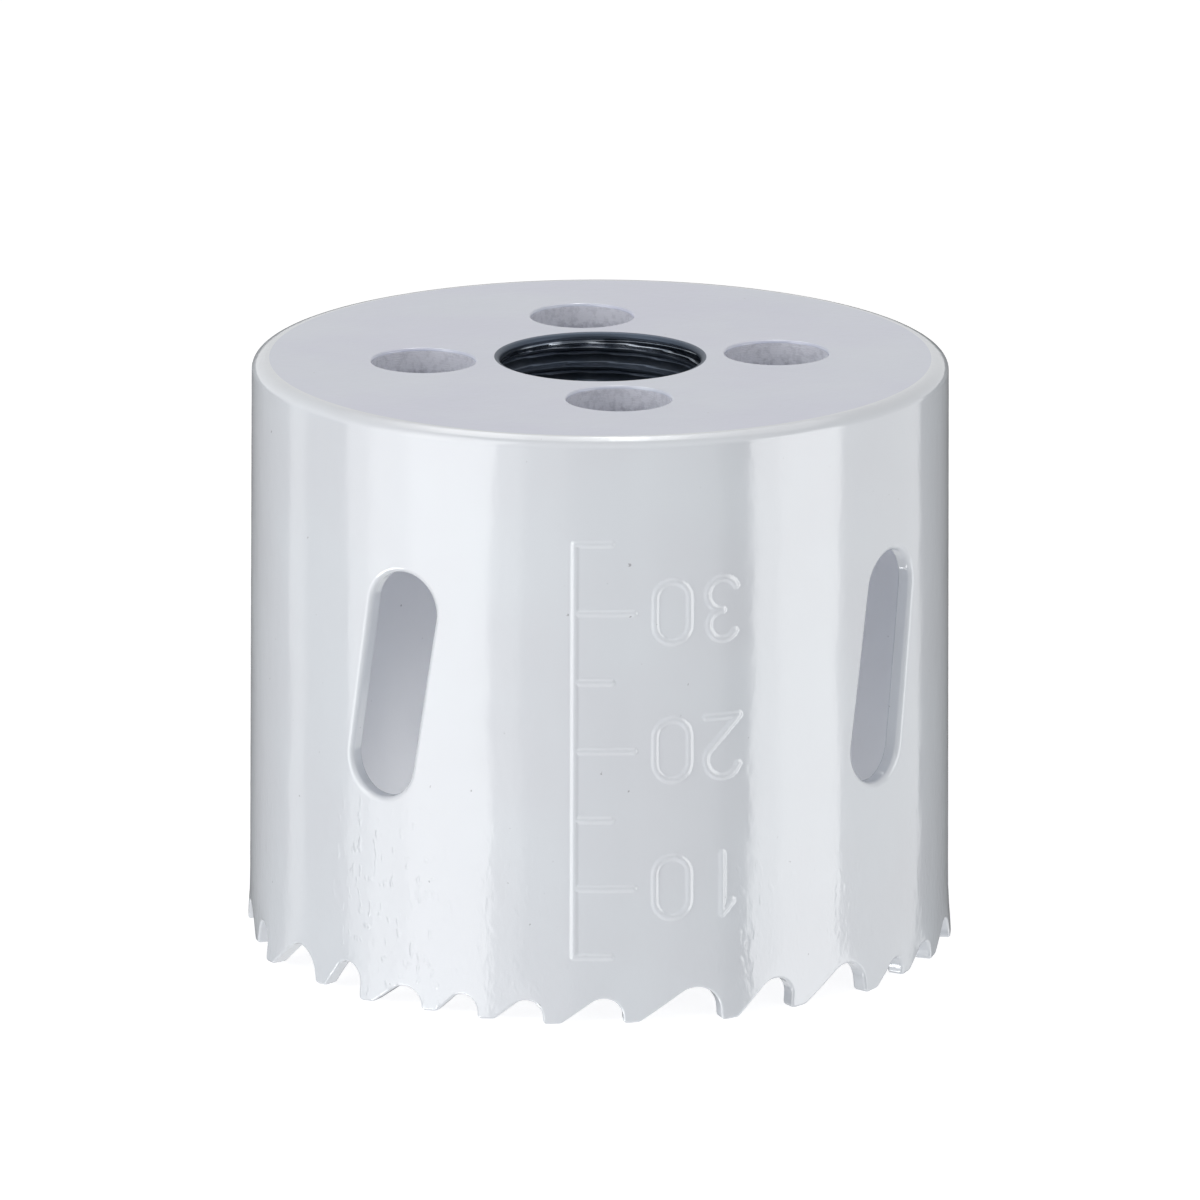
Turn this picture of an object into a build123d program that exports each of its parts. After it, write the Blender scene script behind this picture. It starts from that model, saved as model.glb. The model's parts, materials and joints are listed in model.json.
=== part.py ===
from build123d import *
import math
import os

# Hole saw for a 51 mm hole: a rolled cup, a back plate closing its upper end, and the tips of its teeth.
# It stands on its teeth. The origin is on its axis in the plane of the tooth points, with +Z up to the plate.
# Lengths are in millimetres. Angles are in degrees, from +X towards +Y, and the first slot is on +X.

# Cup
CUT_DIAMETER = 51.0  # circle that the outward set teeth cut
TOOTH_SET = 0.25  # lean of a set tooth at its point, outward or inward
CUP_FLARE = 0.3  # growth of the wall's radius from the rim down to the teeth
WALL = 1.25
HEIGHT = 42.5
RIM_FILLET = 0.8

# Back plate
PLATE_THICKNESS = 5.0
BORE_RADIUS = 7.2  # crests of the 5/8-18 arbor thread
BORE_CHAMFER = 0.4
PIN_HOLE_RADIUS = 3.7
PIN_HOLE_WEB = 1.4  # metal between the mouth of the bore and a pin hole
PIN_HOLE_COUNT = 4
PIN_HOLE_ANGLE = 42.0  # direction of the first pin hole

# Slots in the wall
SLOT_COUNT = 4
SLOT_WIDTH = 5.4
SLOT_TILT = 9.3  # lean of a slot, its top towards increasing angle
SLOT_ABOVE_TEETH = 15.2
SLOT_BELOW_PLATE = 5.7

# Teeth
TIP_HEIGHT = 1.3  # from the tooth points up to the weld line of the tips
SHALLOW = 0.35  # reach of a gullet past the weld line, in the three depths that the row has
MEDIUM = 0.6
DEEP = 1.2
ROOT_SHARE = 0.25  # radius of a gullet's root as a share of its pitch
LAND = 1.3  # length of the land behind each tooth point
LAND_RELIEF = 5.0  # angle by which the land rises from its point
FIRST_TOOTH_ANGLE = 209.0  # rake face of the tooth beside the butt seam of the cup

# Variable pitch: the distance from each rake face to the next, and the gullet between them
TOOTH_PATTERN = (
    (6.6, DEEP),
    (5.4, DEEP),
    (6.9, DEEP),
    (5.3, DEEP),
    (5.2, SHALLOW),
    (4.55, SHALLOW),
    (4.85, SHALLOW),
    (5.7, MEDIUM),
    (7.05, DEEP),
    (5.85, DEEP),
    (6.65, DEEP),
    (5.2, SHALLOW),
    (4.6, SHALLOW),
    (5.85, MEDIUM),
)
SET_PATTERN = (1, -1, 1, -1, 1, -1, 0)  # outward, inward and one straight raker

# Cutting tools reach past the surfaces that they cut
OVERCUT = 1.0

teeth_radius = CUT_DIAMETER / 2 - TOOTH_SET
pin_circle_radius = BORE_RADIUS + BORE_CHAMFER + PIN_HOLE_WEB + PIN_HOLE_RADIUS
plate_underside = HEIGHT - PLATE_THICKNESS


def wall_radius(height):
    """Outer radius of the wall at a height above the tooth points."""
    return teeth_radius - CUP_FLARE * height / HEIGHT


def chord(arc):
    """Sideways distance of a point on the wall that lies an arc length away."""
    return teeth_radius * math.sin(arc / teeth_radius)


def radial_plane(angle, height=0.0):
    """Plane tangent inside the wall: x along the rim, y up and z outward."""
    start = teeth_radius - TOOTH_SET - CUP_FLARE - WALL - OVERCUT
    x = math.cos(math.radians(angle))
    y = math.sin(math.radians(angle))
    return Plane(origin=(start * x, start * y, height), x_dir=(-y, x, 0), z_dir=(x, y, 0))


def through_wall(outline, angle, height=0.0):
    """Prism of an outline through one side of the wall."""
    reach = WALL + CUP_FLARE + 2 * TOOTH_SET + 2 * OVERCUT
    return extrude(radial_plane(angle, height) * outline, reach)


def tooth_row():
    """Rake angle, pitch, gullet depth and set of each tooth round the rim."""
    rim = 2 * math.pi * teeth_radius
    shortest = min(pitch for pitch, _ in TOOTH_PATTERN)
    row = []
    place = 0.0
    while place < rim:
        pitch, past_weld = TOOTH_PATTERN[len(row) % len(TOOTH_PATTERN)]
        # The gap over the butt seam takes up what is left of the strip.
        if rim - place < pitch + shortest:
            pitch = rim - place
        angle = FIRST_TOOTH_ANGLE + math.degrees(place / teeth_radius)
        lean = SET_PATTERN[len(row) % len(SET_PATTERN)]
        row.append((angle, pitch, TIP_HEIGHT + past_weld, lean))
        place += pitch
    return row


def gullet_outline(pitch, depth):
    """Space between two teeth, with the rake face of the second one at x = 0."""
    radius = ROOT_SHARE * pitch
    land_end = (-chord(pitch - LAND), LAND * math.tan(math.radians(LAND_RELIEF)))
    centre = (-radius, depth - radius)
    run = centre[0] - land_end[0]
    rise = centre[1] - land_end[1]
    # The back of the tooth is the tangent from the end of its land to the round root.
    slope = math.atan2(rise, run) + math.asin(radius / math.hypot(run, rise))

    def root_point(angle):
        return (centre[0] + radius * math.cos(angle), centre[1] + radius * math.sin(angle))

    slope_angle = math.pi / 2 + slope
    arc = ThreePointArc(root_point(0), root_point(slope_angle / 2), root_point(slope_angle))
    straight = Polyline(
        root_point(slope_angle),
        land_end,
        (land_end[0], -OVERCUT),
        (0, -OVERCUT),
        root_point(0),
    )
    return make_face(arc + straight)


def relief_outline():
    """Sliver under a land, with the tooth point at the origin."""
    length = LAND + OVERCUT / 2
    rise = length * math.tan(math.radians(LAND_RELIEF))
    return make_face(Polyline((0, 0), (length, rise), (length, -OVERCUT), (0, -OVERCUT), close=True))


def gullet(tooth):
    """Cutting prism of the gullet that follows a tooth."""
    angle, pitch, depth, _ = tooth
    next_rake = angle + math.degrees(pitch / teeth_radius)
    return through_wall(gullet_outline(pitch, depth), next_rake)


def slot():
    """Slanted slot with round ends at angle zero."""
    upright = plate_underside - SLOT_BELOW_PLATE - SLOT_ABOVE_TEETH
    straight = (upright - SLOT_WIDTH) / math.cos(math.radians(SLOT_TILT))
    outline = SlotCenterToCenter(straight, SLOT_WIDTH, rotation=90 - SLOT_TILT)
    return through_wall(outline, 0, SLOT_ABOVE_TEETH + upright / 2)


def cup_wall(row):
    """Rolled strip from the weld line of the tips up to the rim."""
    low = wall_radius(TIP_HEIGHT)
    high = wall_radius(HEIGHT)
    section = make_face(
        Polyline(
            (low - WALL, TIP_HEIGHT),
            (low, TIP_HEIGHT),
            (high, HEIGHT),
            (high - WALL, HEIGHT),
            close=True,
        )
    )
    rim_corner = section.vertices().sort_by(Axis.Y)[-2:].sort_by(Axis.X)[-1]
    section = fillet(rim_corner, RIM_FILLET)
    ring = revolve(Plane.XZ * section, Axis.Z)
    slots = [Rot(0, 0, 360 / SLOT_COUNT * n) * slot() for n in range(SLOT_COUNT)]
    return ring - slots - [gullet(tooth) for tooth in row]


def tooth_tips(row):
    """Tip of each tooth, leaning with its set below the weld line."""
    tips = []
    for number, (angle, pitch, _, lean) in enumerate(row):
        before = row[number - 1]
        low = wall_radius(0) + lean * TOOTH_SET
        high = wall_radius(TIP_HEIGHT)
        section = make_face(
            Polyline((low - WALL, 0), (low, 0), (high, TIP_HEIGHT), (high - WALL, TIP_HEIGHT), close=True)
        )
        # Each blank runs from the root before its tooth to the root after it.
        start = math.degrees(ROOT_SHARE * before[1] / teeth_radius)
        span = start + math.degrees((1 - ROOT_SHARE) * pitch / teeth_radius)
        blank = Rot(0, 0, angle - start) * revolve(Plane.XZ * section, Axis.Z, span)
        relief = through_wall(relief_outline(), angle)
        tips.append(blank - [gullet(before), gullet(row[number]), relief])
    return Compound(children=[tip.solid() for tip in tips])


def back_plate():
    """Disc seated in the cup, with the arbor bore and the drive pin holes."""
    edge_low = wall_radius(plate_underside) - WALL
    edge_high = wall_radius(HEIGHT) - WALL
    mouth = BORE_RADIUS + BORE_CHAMFER
    section = make_face(
        Polyline(
            (mouth, plate_underside),
            (edge_low, plate_underside),
            (edge_high, HEIGHT),
            (mouth, HEIGHT),
            (BORE_RADIUS, HEIGHT - BORE_CHAMFER),
            (BORE_RADIUS, plate_underside + BORE_CHAMFER),
            close=True,
        )
    )
    disc = revolve(Plane.XZ * section, Axis.Z)
    middle = Pos(0, 0, plate_underside + PLATE_THICKNESS / 2)
    holes = PolarLocations(pin_circle_radius, PIN_HOLE_COUNT, start_angle=PIN_HOLE_ANGLE)
    drill = Cylinder(PIN_HOLE_RADIUS, PLATE_THICKNESS + 2 * OVERCUT)
    return disc - [middle * place * drill for place in holes]


def main():
    row = tooth_row()
    os.makedirs("parts", exist_ok=True)
    export_step(cup_wall(row), "parts/cup_wall.step")
    export_step(tooth_tips(row), "parts/tooth_tips.step")
    export_step(back_plate(), "parts/back_plate.step")


main()
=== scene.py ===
import json
import math

import bmesh
import bpy
import numpy as np
from mathutils import Matrix, Vector
from mathutils.geometry import delaunay_2d_cdt


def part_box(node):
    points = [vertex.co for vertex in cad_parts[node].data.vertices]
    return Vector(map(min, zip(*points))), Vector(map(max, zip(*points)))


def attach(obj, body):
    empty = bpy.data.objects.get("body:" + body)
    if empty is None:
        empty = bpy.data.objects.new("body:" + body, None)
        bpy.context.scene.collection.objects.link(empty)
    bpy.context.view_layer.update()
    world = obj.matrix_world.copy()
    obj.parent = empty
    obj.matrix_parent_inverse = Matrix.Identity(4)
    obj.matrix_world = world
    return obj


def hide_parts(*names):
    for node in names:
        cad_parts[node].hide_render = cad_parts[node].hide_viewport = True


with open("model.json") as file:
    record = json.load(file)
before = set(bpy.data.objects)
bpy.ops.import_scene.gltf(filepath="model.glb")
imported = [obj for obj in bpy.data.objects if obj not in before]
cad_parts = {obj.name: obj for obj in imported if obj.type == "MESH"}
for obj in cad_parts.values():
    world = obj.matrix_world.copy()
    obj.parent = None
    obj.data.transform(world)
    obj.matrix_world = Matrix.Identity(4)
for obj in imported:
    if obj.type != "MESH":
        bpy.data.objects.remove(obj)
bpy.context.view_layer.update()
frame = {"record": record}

# Lengths below are in millimetres, unless a comment says metres, and are scaled where Blender takes them.
# Angles of the saw go from +X towards +Y.
MM = 0.001
mounts = {mount["name"]: mount["dims"] for mount in frame["record"]["mounts"]}
plate_low, plate_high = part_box("back_plate")

# Cup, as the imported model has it
HEIGHT = plate_high.z / MM
PLATE_UNDERSIDE = plate_low.z / MM
TIP_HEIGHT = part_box("cup_wall")[0].z / MM
CUT_DIAMETER = 51.0
TOOTH_SET = 0.25
CUP_FLARE = 0.3
WALL = 1.25
RIM_FILLET = 0.8

# Slots
SLOT_COUNT = 4
SLOT_WIDTH = 5.4
SLOT_TILT = 9.3
SLOT_ABOVE_TEETH = 15.2
SLOT_BELOW_PLATE = 5.7

# Teeth: the pitch from each rake face to the next, and the gullet's reach past the weld line
SHALLOW = 0.35
MEDIUM = 0.6
DEEP = 1.2
ROOT_SHARE = 0.25
LAND = 1.3
LAND_RELIEF = 5.0
FIRST_TOOTH_ANGLE = 209.0
TOOTH_PATTERN = (
    (6.6, DEEP),
    (5.4, DEEP),
    (6.9, DEEP),
    (5.3, DEEP),
    (5.2, SHALLOW),
    (4.55, SHALLOW),
    (4.85, SHALLOW),
    (5.7, MEDIUM),
    (7.05, DEEP),
    (5.85, DEEP),
    (6.65, DEEP),
    (5.2, SHALLOW),
    (4.6, SHALLOW),
    (5.85, MEDIUM),
)
SET_PATTERN = (1, -1, 1, -1, 1, -1, 0)
BEND_HEIGHT = 4.6  # the set begins here and grows down to the points

# Back plate
BORE_RADIUS = mounts["arbor_thread"]["r_mm"]
PIN_HOLE_RADIUS = mounts["drive_pins"]["hole_r_mm"]
PIN_CIRCLE_RADIUS = mounts["drive_pins"]["pcd_mm"] / 2
PIN_HOLE_COUNT = mounts["drive_pins"]["count"]
PIN_HOLE_ANGLE = 42.0
BORE_LIP = 0.35  # depth of the painted lip above the thread
BORE_LIP_WIDTH = 0.4
THREAD_PITCH = 25.4 / 18
THREAD_DEPTH = 0.74
GROOVE_MOUTH = 3 / 8  # half the groove's width at the bore, as a share of the pitch
GROOVE_ROOT = 1 / 16  # half the width of its flat root

# Depth scale raised on the wall: ticks and plain numbers of millimetres, read with the teeth up
SCALE_ANGLE = -58.0
SCALE_NUMBERS = (10, 20, 30)
SCALE_STEP = 5
SCALE_END = 35
LONG_TICK = 4.2
SHORT_TICK = 2.6
NUMBER_GAP = 1.5
DIGIT_HEIGHT = 4.4
DIGIT_WIDTH = 2.5
DIGIT_SPACE = 1.2
FLAG_START = (0.2, 0.8)  # where a one begins, as shares of a digit's width and height
UPPER_BOW = 0.24  # radius of a three's upper bow as a share of its height
DIGIT_ARC = 12  # degrees of an arc to each straight piece
STROKE = 0.38
STROKE_SHOULDER = 0.3  # width of the soft slope at each side
STROKE_RAISE = 0.11
STROKE_GRID = 0.13
STROKE_FAR = 1.0  # distance from the strokes past which nothing is raised

# Rounding that the paint leaves on edges
RIM_ROUND = 1.15  # reach of the rim's rounding over the top
TOOTH_EDGE = 0.2
TOOTH_POINT_ROUND = 0.3
LAND_END_ROUND = 0.5
SLOT_EDGE = 0.45
SLOT_INNER_EDGE = 0.2
PIN_EDGE = 0.2

# Mesh density
ARC_STEP = 0.2
ARC_STEPS_LEAST = 3
STRAIGHT_STEP = 0.45
SLOT_ARC_STEPS = 24
SLOT_STRAIGHT_STEPS = 20
EDGE_STEPS = 4
RIM_STEPS = 240
FILLET_STEPS = 10
GRID = 1.25
EDGE_GAP = GRID / 2.5  # least distance of the grid's points from an edge
RELIEF_GAP = GRID / 3  # and from the close points of the raised scale
SLIVER = 1e-6  # area under which a triangle is only rounding, between points in line
LAYOUT_TOLERANCE = 1e-6
CUT_TOLERANCE = 1e-9  # metres
SLOPE_STEP = 0.02  # distance over which the slope of a surface is measured
PIN_STEPS = 56
BORE_STEPS = 180
BORE_RINGS = 56

# Material slots after the first, which holds the paint of a piece's outside
INNER_SLOT = 1  # paint inside the cup
THREAD_SLOT = 1  # bare steel of the bore
PIN_HOLE_SLOT = 2

UP = np.array([0, 0, 1.0])

teeth_radius = CUT_DIAMETER / 2 - TOOTH_SET
bore_mouth = BORE_RADIUS + BORE_LIP_WIDTH


def wall_radius(height):
    """Outer radius of the wall at a height above the tooth points."""
    return teeth_radius - CUP_FLARE * height / HEIGHT


def chord(arc):
    """Sideways distance of a point on the wall that lies an arc length away."""
    return teeth_radius * math.sin(arc / teeth_radius)


def tooth_row():
    """Rake angle in radians, pitch, gullet depth and set of each tooth round the rim."""
    rim = 2 * math.pi * teeth_radius
    shortest = min(pitch for pitch, _ in TOOTH_PATTERN)
    row = []
    place = 0.0
    while place < rim:
        pitch, past_weld = TOOTH_PATTERN[len(row) % len(TOOTH_PATTERN)]
        if rim - place < pitch + shortest:
            pitch = rim - place
        angle = math.radians(FIRST_TOOTH_ANGLE) + place / teeth_radius
        lean = SET_PATTERN[len(row) % len(SET_PATTERN)]
        row.append((angle, pitch, TIP_HEIGHT + past_weld, lean))
        place += pitch
    return row


row = tooth_row()
tooth_starts = np.array([tooth[0] - row[0][0] for tooth in row])
tooth_pitches = np.array([tooth[1] for tooth in row])
tooth_leans = np.array([tooth[3] for tooth in row], float)


def smooth(share):
    """Smooth step from 0 to 1."""
    share = np.clip(share, 0, 1)
    return share * share * (3 - 2 * share)


def lean(theta, height):
    """Outward lean of the strip, which follows the set of the nearest tooth."""
    turn = (theta - row[0][0]) % (2 * math.pi)
    number = np.searchsorted(tooth_starts, turn, side="right") - 1
    root = ROOT_SHARE * tooth_pitches[number]
    past = (turn - tooth_starts[number]) * teeth_radius
    share = smooth((past - tooth_pitches[number] + 2 * root) / (2 * root))
    value = tooth_leans[number] * (1 - share) + tooth_leans[(number + 1) % len(row)] * share
    return TOOTH_SET * value * np.clip(1 - height / BEND_HEIGHT, 0, 1) ** 2


def arc_points(x, y, radius, start, end):
    """Points of an arc from one angle in degrees to another."""
    pieces = round(abs(end - start) / DIGIT_ARC)
    angle = np.radians(np.linspace(start, end, pieces + 1))
    return [(x + radius * math.cos(a), y + radius * math.sin(a)) for a in angle]


def digit_strokes(digit):
    """Strokes of a digit, with its lower left corner at the origin."""
    half = DIGIT_WIDTH / 2
    if digit == 0:
        outline = arc_points(half, DIGIT_HEIGHT - half, half, 0, 180) + arc_points(half, half, half, 180, 360)
        return [outline + outline[:1]]
    if digit == 1:
        flag = (FLAG_START[0] * DIGIT_WIDTH, FLAG_START[1] * DIGIT_HEIGHT)
        return [[flag, (half, DIGIT_HEIGHT), (half, 0)]]
    if digit == 2:
        bow = arc_points(half, DIGIT_HEIGHT - half, half, 160, -35)
        return [bow + [(0, 0), (DIGIT_WIDTH, 0)]]
    upper = DIGIT_HEIGHT * UPPER_BOW
    lower = DIGIT_HEIGHT / 2 - upper
    bow = arc_points(half, DIGIT_HEIGHT - upper, upper, 150, -90)
    return [bow + arc_points(half, lower, lower, 90, -150)[1:]]


def scale_strokes():
    """Strokes of the scale: distance along the rim from its line, and height above the teeth."""
    strokes = [[(0, SCALE_STEP), (0, SCALE_END)]]
    for height in range(SCALE_STEP, SCALE_END + 1, SCALE_STEP):
        reach = LONG_TICK if height in SCALE_NUMBERS else SHORT_TICK
        strokes.append([(0, height), (reach, height)])
    for number in SCALE_NUMBERS:
        digits = [int(digit) for digit in str(number)]
        left = LONG_TICK + NUMBER_GAP + len(digits) * (DIGIT_WIDTH + DIGIT_SPACE) - DIGIT_SPACE
        for place, digit in enumerate(digits):
            start = left - place * (DIGIT_WIDTH + DIGIT_SPACE)
            for stroke in digit_strokes(digit):
                strokes.append([(start - x, number + DIGIT_HEIGHT / 2 - y) for x, y in stroke])
    return strokes


scale_lines = np.array([(*a, *b) for stroke in scale_strokes() for a, b in zip(stroke, stroke[1:])])
scale_low = scale_lines.reshape(-1, 2).min(axis=0) - STROKE_FAR
scale_high = scale_lines.reshape(-1, 2).max(axis=0) + STROKE_FAR


def stroke_distance(along, height):
    """Distance of points from the nearest stroke of the scale, STROKE_FAR at the most."""
    places = np.stack(np.broadcast_arrays(along, height), axis=-1)
    near = ((places > scale_low) & (places < scale_high)).all(axis=-1)
    distance = np.full(near.shape, STROKE_FAR)
    if near.any():
        points = places[near][:, None]
        start, run = scale_lines[:, :2], scale_lines[:, 2:] - scale_lines[:, :2]
        share = np.clip(((points - start) * run).sum(axis=2) / (run * run).sum(axis=1), 0, 1)
        away = np.linalg.norm(points - start - share[:, :, None] * run, axis=2)
        distance[near] = np.minimum(away.min(axis=1), STROKE_FAR)
    return distance


def scale_relief(theta, height):
    """Height of the raised scale above the wall."""
    along = ((theta - math.radians(SCALE_ANGLE) + math.pi) % (2 * math.pi) - math.pi) * teeth_radius
    outside = stroke_distance(along, height) - STROKE / 2
    return STROKE_RAISE * smooth(0.5 - outside / STROKE_SHOULDER)


def scale_points():
    """Angle and height of the close points that the raised scale needs."""
    # The rows of a triangular grid
    columns = np.arange(scale_low[0], scale_high[0], STROKE_GRID)
    levels = np.arange(scale_low[1], scale_high[1], STROKE_GRID * math.sqrt(0.75))
    along, height = np.meshgrid(columns, levels)
    along = (along + (np.arange(len(levels)) % 2)[:, None] * STROKE_GRID / 2).ravel()
    height = height.ravel()
    keep = stroke_distance(along, height) < STROKE / 2 + STROKE_SHOULDER
    return math.radians(SCALE_ANGLE) + along[keep] / teeth_radius, height[keep]


def outer_radius(theta, height):
    """Radius of the wall's outer sheet, which carries the raised scale."""
    return wall_radius(height) + lean(theta, height) + scale_relief(theta, height)


def inner_radius(theta, height):
    """Radius of its inner sheet."""
    return wall_radius(height) + lean(theta, height) - WALL


def round_corners(corners, radii):
    """Points and left-hand normals from the first arc to the last along a path with rounded corners."""
    points, normals = [], []
    for before, corner, after, radius in zip(corners, corners[1:], corners[2:], radii):
        come = np.subtract(corner, before)
        come = come / np.linalg.norm(come)
        leave = np.subtract(after, corner)
        leave = leave / np.linalg.norm(leave)
        left = np.array([-come[1], come[0]])
        turn = math.atan2(come[0] * leave[1] - come[1] * leave[0], come @ leave)
        start = np.array(corner) - come * radius * math.tan(abs(turn) / 2)
        side = math.copysign(radius, turn)
        centre = start + left * side
        if points:
            last = points[-1]
            pieces = max(1, round(np.linalg.norm(start - last) / STRAIGHT_STEP))
            for piece in range(1, pieces):
                points.append(last + (start - last) * piece / pieces)
                normals.append(left)
        steps = max(ARC_STEPS_LEAST, math.ceil(radius * abs(turn) / ARC_STEP))
        for step in range(steps + 1):
            angle = turn * step / steps
            turned = np.array(
                [left[0] * math.cos(angle) - left[1] * math.sin(angle),
                 left[0] * math.sin(angle) + left[1] * math.cos(angle)]
            )
            points.append(centre - turned * side)
            normals.append(turned)
    return np.array(points), np.array(normals)


def toothed_edge():
    """Columns plane angle, x, z and inward normal of the lower edge, one gullet after the other."""
    samples = []
    rise = math.tan(math.radians(LAND_RELIEF))
    for angle, pitch, depth, _ in row:
        plane = angle + pitch / teeth_radius
        radius = ROOT_SHARE * pitch
        land_end = (-chord(pitch - LAND), LAND * rise)
        run = -radius - land_end[0]
        climb = depth - radius - land_end[1]
        slope = math.atan2(climb, run) + math.asin(radius / math.hypot(run, climb))
        root = (0.0, land_end[1] - math.tan(slope) * land_end[0])
        path = (
            (land_end[0] - LAND, 0.0),
            land_end,
            root,
            (0.0, 0.0),
            (LAND, LAND * rise),
        )
        points, normals = round_corners(path, (LAND_END_ROUND, radius, TOOTH_POINT_ROUND))
        samples.append(np.column_stack([np.full(len(points), plane), points, normals]))
    return np.concatenate(samples)


def slot_edge(plane):
    """The same columns for the edge of a slot, with the normals out of the slot."""
    top = PLATE_UNDERSIDE - SLOT_BELOW_PLATE
    middle = (SLOT_ABOVE_TEETH + top) / 2
    tilt = math.radians(SLOT_TILT)
    half = (top - SLOT_ABOVE_TEETH - SLOT_WIDTH) / 2 / math.cos(tilt)
    along = np.array([math.sin(tilt), math.cos(tilt)])
    across = np.array([math.cos(tilt), -math.sin(tilt)])
    points, normals = [], []
    for end in (1, -1):
        for step in range(SLOT_ARC_STEPS + 1):
            angle = math.pi * step / SLOT_ARC_STEPS
            out = end * (along * math.sin(angle) - across * math.cos(angle))
            points.append(end * half * along + out * SLOT_WIDTH / 2)
            normals.append(out)
        for step in range(1, SLOT_STRAIGHT_STEPS):
            share = 1 - 2 * step / SLOT_STRAIGHT_STEPS
            points.append(end * (half * share * along + across * SLOT_WIDTH / 2))
            normals.append(end * across)
    points = np.array(points) + (0, middle)
    return np.column_stack([np.full(len(points), plane), points, np.array(normals)])


class Skin:
    """Points of a mesh, the normals that shade them and the faces between them."""

    def __init__(self):
        self.points = []
        self.normals = []
        self.faces = []
        self.materials = []
        self.material = 0

    def add(self, points, normals):
        """Takes up points with their normals and returns their numbers."""
        first = len(self.points)
        self.points.extend(points)
        self.normals.extend(normals)
        return np.arange(first, len(self.points))

    def face(self, corners):
        """Takes up a face in the present material slot."""
        self.faces.append(tuple(int(corner) for corner in corners))
        self.materials.append(self.material)

    def band(self, first, second):
        """Quads between two closed rings of as many points."""
        for a, b, c, d in zip(first, np.roll(first, -1), np.roll(second, -1), second):
            self.face((a, b, c, d))

    def fill(self, flat, index, loops):
        """Triangles over a flat layout, inside the first loop and outside the others."""
        edges = [(int(a), int(b)) for loop in loops for a, b in zip(loop, np.roll(loop, -1))]
        done = delaunay_2d_cdt([Vector(p) for p in flat], edges, [], 0, LAYOUT_TOLERANCE)
        origin = [source[0] for source in done[3]]
        corners = np.array([[origin[corner] for corner in face] for face in done[2]])
        centres = flat[corners].mean(axis=1)
        keep = inside(centres, flat[loops[0]])
        for loop in loops[1:]:
            keep &= ~inside(centres, flat[loop])
        first, second, third = (flat[corners[:, n]] for n in range(3))
        one, two = second - first, third - first
        keep &= np.abs(one[:, 0] * two[:, 1] - one[:, 1] * two[:, 0]) > 2 * SLIVER
        for face in corners[keep]:
            self.face(index[face])

    def mesh(self, name):
        """Mesh in metres with a closed, outward facing surface."""
        made = bpy.data.meshes.new(name)
        made.from_pydata((np.array(self.points) * MM).tolist(), [], self.faces)
        made.polygons.foreach_set("material_index", self.materials)
        shade = made.attributes.new("shade", "FLOAT_VECTOR", "POINT")
        shade.data.foreach_set("vector", np.array(self.normals, np.float32).ravel())
        return made


def inside(points, polygon):
    """Whether each point lies in a polygon, by counting crossings."""
    found = np.zeros(len(points), bool)
    x, y = points[:, 0], points[:, 1]
    for (x1, y1), (x2, y2) in zip(polygon, np.roll(polygon, -1, axis=0)):
        if y1 != y2:
            crosses = (y1 > y) != (y2 > y)
            found ^= crosses & (x < (x2 - x1) * (y - y1) / (y2 - y1) + x1)
    return found


def at_wall(theta, height, radius):
    """Points at an angle, a height and a radius."""
    return np.column_stack([radius * np.cos(theta), radius * np.sin(theta), height])


def outward(theta):
    """Level unit vectors at an angle."""
    return at_wall(theta, np.zeros(len(theta)), 1)


def full_turn(steps):
    """Even angles round one turn."""
    return 2 * math.pi * np.arange(steps) / steps


def wall_normals(surface, theta, height):
    """Outward normals of a surface whose radius is a function of angle and height."""
    step = SLOPE_STEP
    turn = step / teeth_radius
    radius = surface(theta, height)
    round_slope = (surface(theta + turn, height) - surface(theta - turn, height)) / (2 * turn) / radius
    up_slope = (surface(theta, height + step) - surface(theta, height - step)) / (2 * step)
    normals = np.column_stack(
        [np.cos(theta) + round_slope * np.sin(theta),
         np.sin(theta) - round_slope * np.cos(theta),
         -up_slope]
    )
    return normals / np.linalg.norm(normals, axis=1)[:, None]


def edge_ring(skin, samples, surface, facing, rounding, share):
    """One ring of a rounded edge of the wall, from its side (0) to the sheet (1)."""
    plane, x, z, nx, nz = samples.T
    angle = share * math.pi / 2
    inward = rounding * (1 - math.cos(angle))
    depth = rounding * (1 - math.sin(angle))
    x = x + nx * inward
    z = z + nz * inward
    theta = plane + np.arcsin(x / surface(plane, z))
    radius = surface(theta, z) - facing * depth
    theta = plane + np.arcsin(x / radius)
    side = -np.column_stack([-np.sin(plane) * nx, np.cos(plane) * nx, nz])
    normals = side * math.cos(angle) + facing * wall_normals(surface, theta, z) * math.sin(angle)
    normals /= np.linalg.norm(normals, axis=1)[:, None]
    return skin.add(at_wall(theta, z, radius), normals), theta, z


def rounded_edge(skin, samples, outer_rounding, inner_rounding):
    """Bands of an edge from the outer sheet to the inner one, and the ring that each sheet starts from."""
    shares = np.arange(EDGE_STEPS + 1) / EDGE_STEPS
    outer = [edge_ring(skin, samples, outer_radius, 1, outer_rounding, share) for share in shares[::-1]]
    inner = [edge_ring(skin, samples, inner_radius, -1, inner_rounding, share) for share in shares]
    rings = outer + inner
    for first, second in zip(rings, rings[1:]):
        skin.band(first[0], second[0])
    return rings[0], rings[-1]


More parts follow.
